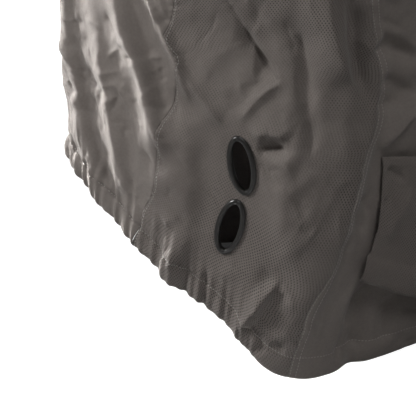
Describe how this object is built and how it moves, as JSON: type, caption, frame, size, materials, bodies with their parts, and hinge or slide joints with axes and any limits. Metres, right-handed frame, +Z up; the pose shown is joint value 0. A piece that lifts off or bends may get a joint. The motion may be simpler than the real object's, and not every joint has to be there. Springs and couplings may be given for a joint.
{
  "type": "motorcycle cover",
  "caption": "Draped hollow fabric cover for a parked motorcycle, with a gathered elastic hem at the front, a woven corner panel with black oval eyelets and a vent flap on its side.",
  "frame": {"origin": "middle of the cover's bounding box at its lowest hem", "axes": "+X along the length from the front wheel end to the tail, +Y to the cover's right side, +Z up"},
  "size_m": [2.1539, 0.8505, 1.1849],
  "materials": {
    "plain_cloth": "coated plain weave, slight sheen",
    "diamond_cloth": "coated weave with a small diamond pattern",
    "black_plastic": "satin moulded black"
  },
  "bodies": {
    "root": {"front_panel": "plain_cloth", "gusset_left": "diamond_cloth", "side_left": "plain_cloth", "rear_panel": "plain_cloth", "side_right": "plain_cloth", "gusset_right": "diamond_cloth", "crown_panel": "plain_cloth", "flap": "diamond_cloth", "eyelet_upper": "black_plastic", "eyelet_lower": "black_plastic"}
  },
  "joints": []
}
